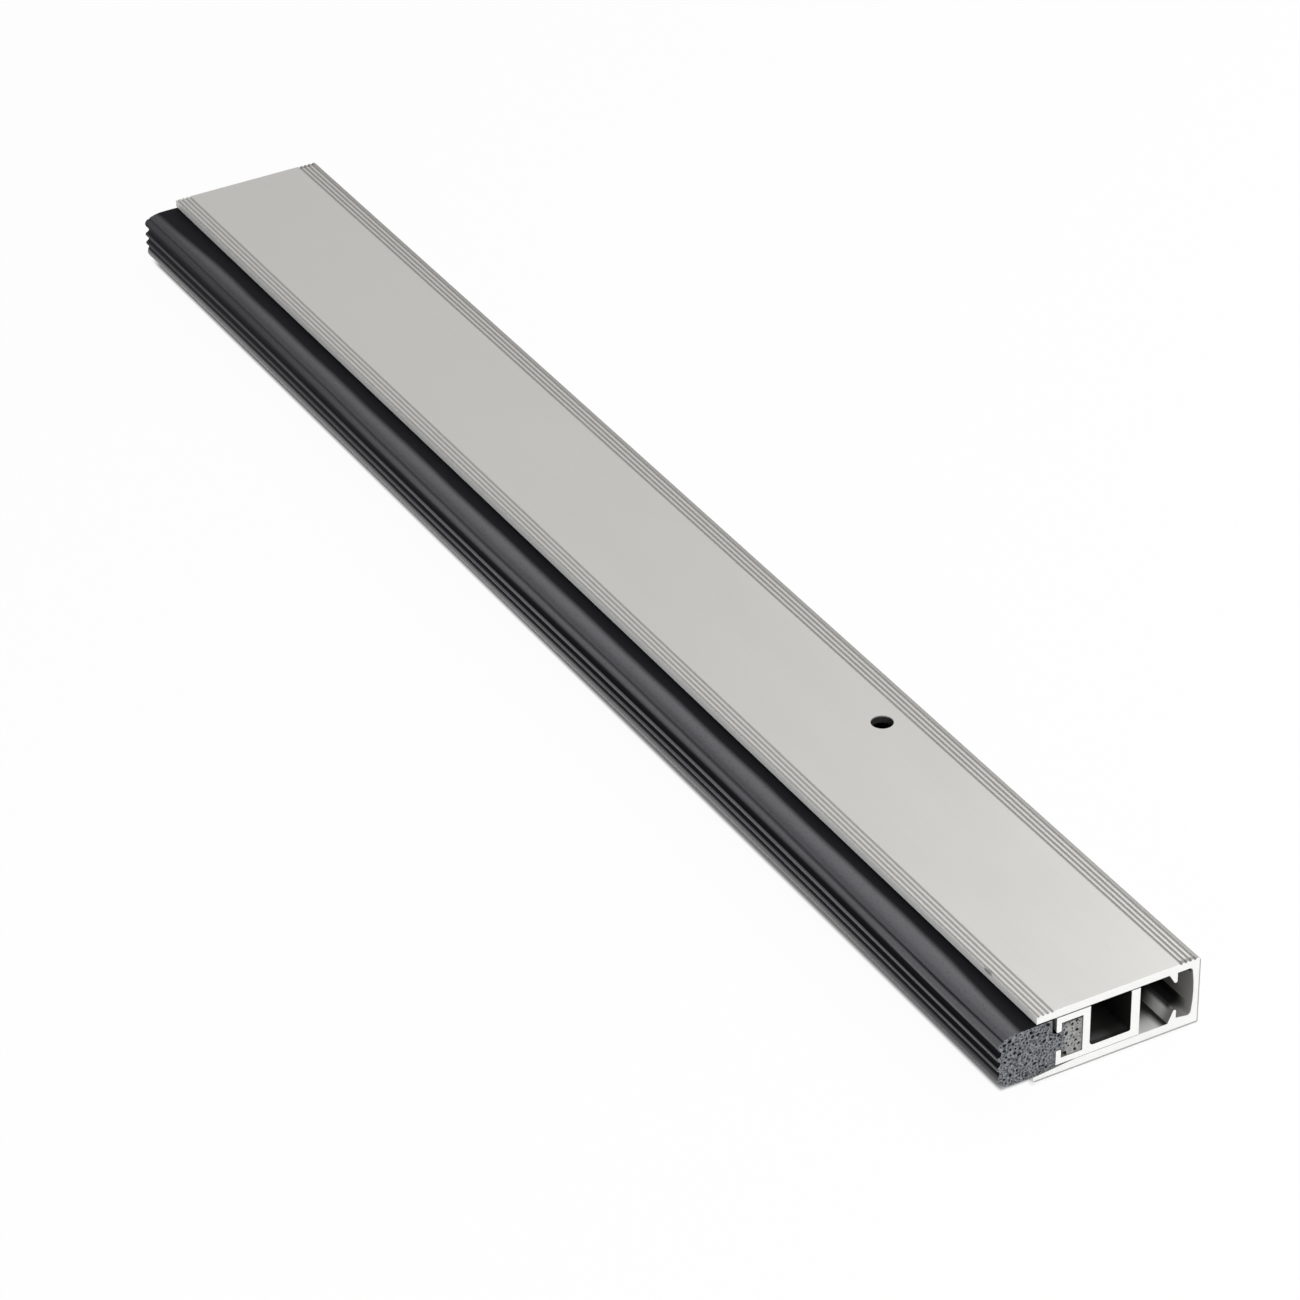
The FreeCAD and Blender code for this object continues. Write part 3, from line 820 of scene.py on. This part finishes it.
def cut_face(outline, settings, dice):
    """Mesh a knife-cut end: (points, depths, triangles), with the outline's points first."""
    points = list(outline)
    depths = [dice.uniform(0, 0.4 * settings.cut_unevenness) for point in outline]
    for centre, radius in scatter_pores(outline, settings, dice):
        for point, depth in pore_points(centre, radius, settings, dice):
            points.append(point)
            depths.append(depth)
    rim = len(outline)
    inside_only = 1
    same_place = 1e-6
    result = geometry.delaunay_2d_cdt([point / MM for point in points], [],
                                      [list(range(rim))], inside_only, same_place)
    # Each meshed point names the points it came from, and one of the outline counts first.
    origins = [max(group) if min(group) >= rim else min(group) for group in result[3]]
    triangles = [[origins[corner] for corner in face] for face in result[2]]
    return points, depths, triangles


def tube_faces(rings, sides, flipped=False):
    """Give the faces between rings of points that follow each other along a piece."""
    faces = []
    for ring in range(rings - 1):
        for side in range(sides):
            first = ring * sides + side
            second = ring * sides + (side + 1) % sides
            if flipped:
                faces.append((first, first + sides, second + sides, second))
            else:
                faces.append((first, second, second + sides, first + sides))
    return faces


def skin_points(outline, rings, settings):
    """Give the points of the sponge's skin, ring after ring from its near end."""
    torn_corner = Vector((SLIDE_LOW.x + 1.58 * MM, SLIDE_LOW.z + 1.73 * MM))
    torn_reach = 0.7 * MM
    wave = 4 * MM
    overhang = CHANNEL_LOW.x - SPONGE_LOW.x - 1 * MM
    stiff_height = 1.5 * MM
    soft_height = 4 * MM
    inward = inward_directions(outline)
    points = []
    for ring in range(rings + 1):
        along = SPONGE_LOW.y + (SPONGE_HIGH.y - SPONGE_LOW.y) * ring / rings
        run = along - SPONGE_LOW.y
        sway = settings.sway * (0.5 - 0.5 * math.cos(math.tau * run / settings.sway_along))
        for point, direction in zip(outline, inward):
            where = Vector((point.x / wave, along / settings.wander_along, point.y / wave))
            sink = settings.wander * (0.5 + 0.5 * noise.noise(where))
            # One corner of the foot is torn away at the near end.
            close = limited(1 - (point - torn_corner).length / torn_reach)
            sink += settings.tear * close * limited(1 - run / settings.tear_along)
            spot = point + direction * sink
            # The overhanging front sways back, and the foot in its slot stays in line.
            out = limited((CHANNEL_LOW.x - point.x) / overhang)
            raised = limited((point.y - stiff_height) / (soft_height - stiff_height))
            spot.x += sway * out * out * (0.5 + 0.5 * raised)
            points.append(Vector((spot.x, along, spot.y)))
    return points


def make_sponge(settings):
    """Make the sponge seal: a soft ribbed skin between two porous knife-cut ends."""
    node = "sponge_seal"
    outline = spaced(end_outline(node), settings.step_across)
    outline = softened(outline, times=2, pull=0.35)
    rim = len(outline)
    rings = round((SPONGE_HIGH.y - SPONGE_LOW.y) / settings.step_along)
    vertices = skin_points(outline, rings, settings)
    faces = tube_faces(rings + 1, rim, flipped=True)
    skin_faces = len(faces)
    dice = random.Random(settings.seed)
    for ring, plane, inwards in ((0, SPONGE_LOW.y, 1), (rings, SPONGE_HIGH.y, -1)):
        start = ring * rim
        end_rim = [Vector((spot.x, spot.z)) for spot in vertices[start:start + rim]]
        points, depths, triangles = cut_face(end_rim, settings, dice)
        for number, depth in enumerate(depths[:rim]):
            vertices[start + number].y += inwards * depth
        extra = len(vertices) - rim
        for point, depth in zip(points[rim:], depths[rim:]):
            vertices.append(Vector((point.x, plane + inwards * depth, point.y)))
        for triangle in triangles:
            corners = [start + corner if corner < rim else extra + corner for corner in triangle]
            faces.append(corners if inwards > 0 else corners[::-1])
    materials = (new_finish("sponge_skin", sponge_skin, settings),
                 new_finish("cut_foam", cut_foam, settings))
    kinds = [0] * skin_faces + [1] * (len(faces) - skin_faces)
    piece = new_piece("ribbed_sponge_seal", node, vertices, faces, materials, kinds)


def thread_radius(across, turn, settings):
    """Give the radius of the thread at a distance along the screw and a turn round it."""
    root = 0.22
    flank = 0.64
    phase = (across / settings.pitch - turn / math.tau) % 1
    height = limited((abs(phase - 0.5) * 2 - root) / flank)
    return settings.shank_radius - settings.thread_depth * (1 - height)


def hexagon_radius(turn, flat):
    """Give the distance to a hexagon's side, in a direction round it."""
    return flat / math.cos((turn + math.pi / 6) % (math.pi / 3) - math.pi / 6)


def make_screw(node, settings, material):
    """Make one adjusting screw: helical thread, chamfered head and hexagon socket."""
    low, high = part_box(node)
    axis_y = (low.y + high.y) / 2
    axis_z = (low.z + high.z) / 2
    head_radius = (high.z - low.z) / 2
    shank = high.x - low.x - settings.head_thickness
    turns = shank / settings.pitch
    steps = round(turns * settings.steps_per_turn)
    rings = []
    for step in range(steps + 1):
        across = shank * step / steps
        tip = settings.shank_radius - settings.tip_cut + across
        rings.append((across, lambda turn, across=across, tip=tip:
                      min(tip, thread_radius(across, turn, settings))))
    top = shank + settings.head_thickness
    cut = settings.edge_cut
    soft = settings.edge_round
    for across, radius in ((shank, head_radius - soft), (shank + soft, head_radius),
                           (top - cut - soft / 2, head_radius),
                           (top - cut + soft / 2, head_radius - soft / 2),
                           (top - soft / 2, head_radius - cut + soft / 2),
                           (top, head_radius - cut - soft / 2)):
        rings.append((across, lambda turn, radius=radius: radius))
    flat = settings.socket_flat
    corner = flat / math.cos(math.pi / 6)
    rings.append((top, lambda turn: corner + settings.socket_cut))
    rings.append((top - settings.socket_cut, lambda turn: hexagon_radius(turn, flat)))
    rings.append((top - settings.socket_depth, lambda turn: hexagon_radius(turn, flat)))
    sides = settings.sides
    vertices = []
    for across, radius in rings:
        for side in range(sides):
            turn = math.tau * side / sides
            reach = radius(turn)
            vertices.append((low.x + across, axis_y + reach * math.cos(turn),
                             axis_z + reach * math.sin(turn)))
    faces = tube_faces(len(rings), sides)
    drill_slope = 0.3
    drill_point = top - settings.socket_depth - flat * drill_slope
    for across, ring, outwards in ((0, 0, False), (drill_point, len(rings) - 1, True)):
        vertices.append((low.x + across, axis_y, axis_z))
        for side in range(sides):
            first = ring * sides + side
            second = ring * sides + (side + 1) % sides
            run = (first, second) if outwards else (second, first)
            faces.append((*run, len(vertices) - 1))
    new_piece(f"threaded_{node}", node, vertices, faces, [material])


class SEAL_OT_dress_channel(bpy.types.Operator):
    """Give the channel its satin anodised finish"""

    bl_idname = "seal.dress_channel"
    bl_label = "Finish the channel"

    def execute(self, context):
        settings = context.scene.seal_aluminium
        dress("outer_channel", new_finish("satin_anodised", anodised_channel, settings))
        return {"FINISHED"}


class SEAL_OT_dress_slide(bpy.types.Operator):
    """Give the slide its mill finish"""

    bl_idname = "seal.dress_slide"
    bl_label = "Finish the slide"

    def execute(self, context):
        settings = context.scene.seal_aluminium
        dress("inner_slide", new_finish("mill_finish", mill_slide, settings))
        return {"FINISHED"}


class SEAL_OT_make_sponge(bpy.types.Operator):
    """Make the ribbed sponge seal with its porous ends"""

    bl_idname = "seal.make_sponge"
    bl_label = "Make the sponge seal"

    def execute(self, context):
        make_sponge(context.scene.seal_sponge)
        return {"FINISHED"}


class SEAL_OT_make_screws(bpy.types.Operator):
    """Make the two threaded adjusting screws"""

    bl_idname = "seal.make_screws"
    bl_label = "Make the adjusting screws"

    def execute(self, context):
        settings = context.scene.seal_screws
        material = new_finish("zinc_plating", zinc_plating, settings)
        for node in ("adjusting_screw_near", "adjusting_screw_far"):
            make_screw(node, settings, material)
        return {"FINISHED"}


def backdrop_rays(recipe):
    """Give 1 for the rays that should see a plain white backdrop, and 0 for the rest."""
    camera = recipe.node("ShaderNodeLightPath", output="Is Camera Ray")
    return recipe.either(camera, camera.output("Is Glossy Ray"),
                         camera.output("Is Transmission Ray"))


def floor_shade(recipe, settings):
    """Give how much of its own shading the floor keeps, most of it under the strip."""
    across, along, _ = recipe.axes(recipe.place())
    middle = (CHANNEL_LOW.x + CHANNEL_HIGH.x) / 2
    beside = abs(across - middle) - (CHANNEL_HIGH.x - middle)
    beyond = abs(along) - STRIP_HIGH.y
    under_channel = 0.5 * (1 - recipe.either(beside, beyond).ramp(0, settings.contact))
    edge = CHANNEL_LOW.x - settings.overhang
    slant = 0.0014
    under_sponge = (across - slant * along).ramp(edge - settings.fade, edge) * (across < 0)
    under_sponge = under_sponge * along.ramp(STRIP_LOW.y + 0.5 * MM, STRIP_LOW.y + 1.3 * MM)
    under_sponge = under_sponge * (1 - beyond.ramp(-2 * MM, 3 * MM))
    return recipe.either(under_channel, under_sponge, settings.shadow)


def make_floor(settings):
    """Lay a white floor that keeps a faint shadow."""
    half = settings.floor_size / 2
    down = -settings.floor_gap
    mesh = bpy.data.meshes.new("floor")
    mesh.from_pydata([(-half, -half, down), (half, -half, down), (half, half, down),
                      (-half, half, down)], [], [(0, 1, 2, 3)])
    material = bpy.data.materials.new("white_floor")
    material.use_nodes = True
    recipe = Recipe(material.node_tree)
    paper = recipe.node("ShaderNodeBsdfDiffuse", sockets={"Color": PAPER})
    white = recipe.node("ShaderNodeEmission", sockets={"Color": WHITE, "Strength": 1.0})
    seen = backdrop_rays(recipe) * (1 - floor_shade(recipe, settings))
    surface = recipe.node("ShaderNodeMixShader", sockets={0: seen, 1: paper, 2: white})
    recipe.node("ShaderNodeOutputMaterial", sockets={"Surface": surface})
    mesh.materials.append(material)
    floor = bpy.data.objects.new("floor", mesh)
    bpy.context.scene.collection.objects.link(floor)


def light_room(settings):
    """Light the room softly from all round, and show it white."""
    world = bpy.data.worlds.new("room")
    bpy.context.scene.world = world
    world.use_nodes = True
    recipe = Recipe(world.node_tree)
    soft = recipe.node("ShaderNodeBackground", sockets={
        "Color": WHITE, "Strength": settings.room})
    white = recipe.node("ShaderNodeBackground", sockets={"Color": WHITE, "Strength": 1.0})
    surface = recipe.node("ShaderNodeMixShader", sockets={
        0: backdrop_rays(recipe), 1: soft, 2: white})
    recipe.node("ShaderNodeOutputWorld", sockets={"Surface": surface})


def hang_softbox(name, place, aim, side, power):
    """Hang a square soft light and turn it to its aim."""
    data = bpy.data.lights.new(name, "AREA")
    data.shape = "SQUARE"
    data.size = side
    data.energy = power
    lamp = bpy.data.objects.new(name, data)
    lamp.location = place
    lamp.rotation_euler = (Vector(aim) - Vector(place)).to_track_quat("-Z", "Y").to_euler()
    bpy.context.scene.collection.objects.link(lamp)


def set_camera(settings):
    """Stand the camera where the picture was taken."""
    data = bpy.data.cameras.new("camera")
    data.lens = settings.lens
    data.sensor_width = settings.sensor
    data.clip_start = 0.05
    camera = bpy.data.objects.new("camera", data)
    flat = math.cos(settings.elevation)
    back = Vector((math.sin(settings.azimuth) * flat, -math.cos(settings.azimuth) * flat,
                   math.sin(settings.elevation)))
    turn = (-back).to_track_quat("-Z", "Y").to_matrix().to_4x4()
    place = Matrix.Translation(Vector(settings.aim) + back * settings.distance)
    camera.matrix_world = place @ turn @ Matrix.Rotation(-settings.roll, 4, "Z")
    bpy.context.scene.collection.objects.link(camera)
    bpy.context.scene.camera = camera


class SEAL_OT_set_stage(bpy.types.Operator):
    """Set the camera, the white floor and the soft lights"""

    bl_idname = "seal.set_stage"
    bl_label = "Set the stage"

    def execute(self, context):
        settings = context.scene.seal_stage
        set_camera(settings)
        make_floor(settings)
        light_room(settings)
        near_end = (0, STRIP_LOW.y, CHANNEL_HIGH.z / 2)
        hang_softbox("key_softbox", place=(0.45, 0.02, 0.45), aim=(0, -0.31, 0), side=0.35,
                     power=1.79)
        hang_softbox("front_softbox", place=(0.1, -0.75, 0.42), aim=near_end, side=0.4,
                     power=3.4)
        hang_softbox("side_softbox", place=(-0.7, -0.3, 0.3), aim=(0, -0.05, 0), side=0.5,
                     power=1.4)
        context.scene.view_settings.view_transform = "Standard"
        return {"FINISHED"}


class SEAL_PT_panel(bpy.types.Panel):
    """List of the seal's pieces"""

    bl_idname = "SEAL_PT_panel"
    bl_label = "Perimeter seal"
    bl_space_type = "VIEW_3D"
    bl_region_type = "UI"
    bl_category = "Seal"

    def draw(self, context):
        for operator in OPERATORS:
            self.layout.operator(operator.bl_idname)
        for name in SETTINGS:
            group = getattr(context.scene, name)
            box = self.layout.box()
            for prop in group.bl_rna.properties:
                if prop.identifier not in ("rna_type", "name"):
                    box.prop(group, prop.identifier)


SETTINGS = {
    "seal_aluminium": AluminiumSettings,
    "seal_sponge": SpongeSettings,
    "seal_screws": ScrewSettings,
    "seal_stage": StageSettings,
}
OPERATORS = (
    SEAL_OT_dress_channel,
    SEAL_OT_dress_slide,
    SEAL_OT_make_sponge,
    SEAL_OT_make_screws,
    SEAL_OT_set_stage,
)


def register():
    """Register the settings, operators and panel."""
    for group in (*SETTINGS.values(), *OPERATORS, SEAL_PT_panel):
        bpy.utils.register_class(group)
    for name, group in SETTINGS.items():
        setattr(bpy.types.Scene, name, PointerProperty(type=group))


def unregister():
    """Take the settings, operators and panel away again."""
    for name in SETTINGS:
        delattr(bpy.types.Scene, name)
    for group in (SEAL_PT_panel, *OPERATORS, *SETTINGS.values()):
        bpy.utils.unregister_class(group)


def main():
    """Build everything."""
    register()
    bpy.ops.seal.set_stage()
    bpy.ops.seal.dress_channel()
    bpy.ops.seal.dress_slide()
    bpy.ops.seal.make_sponge()
    bpy.ops.seal.make_screws()


if __name__ == "__main__":
    main()
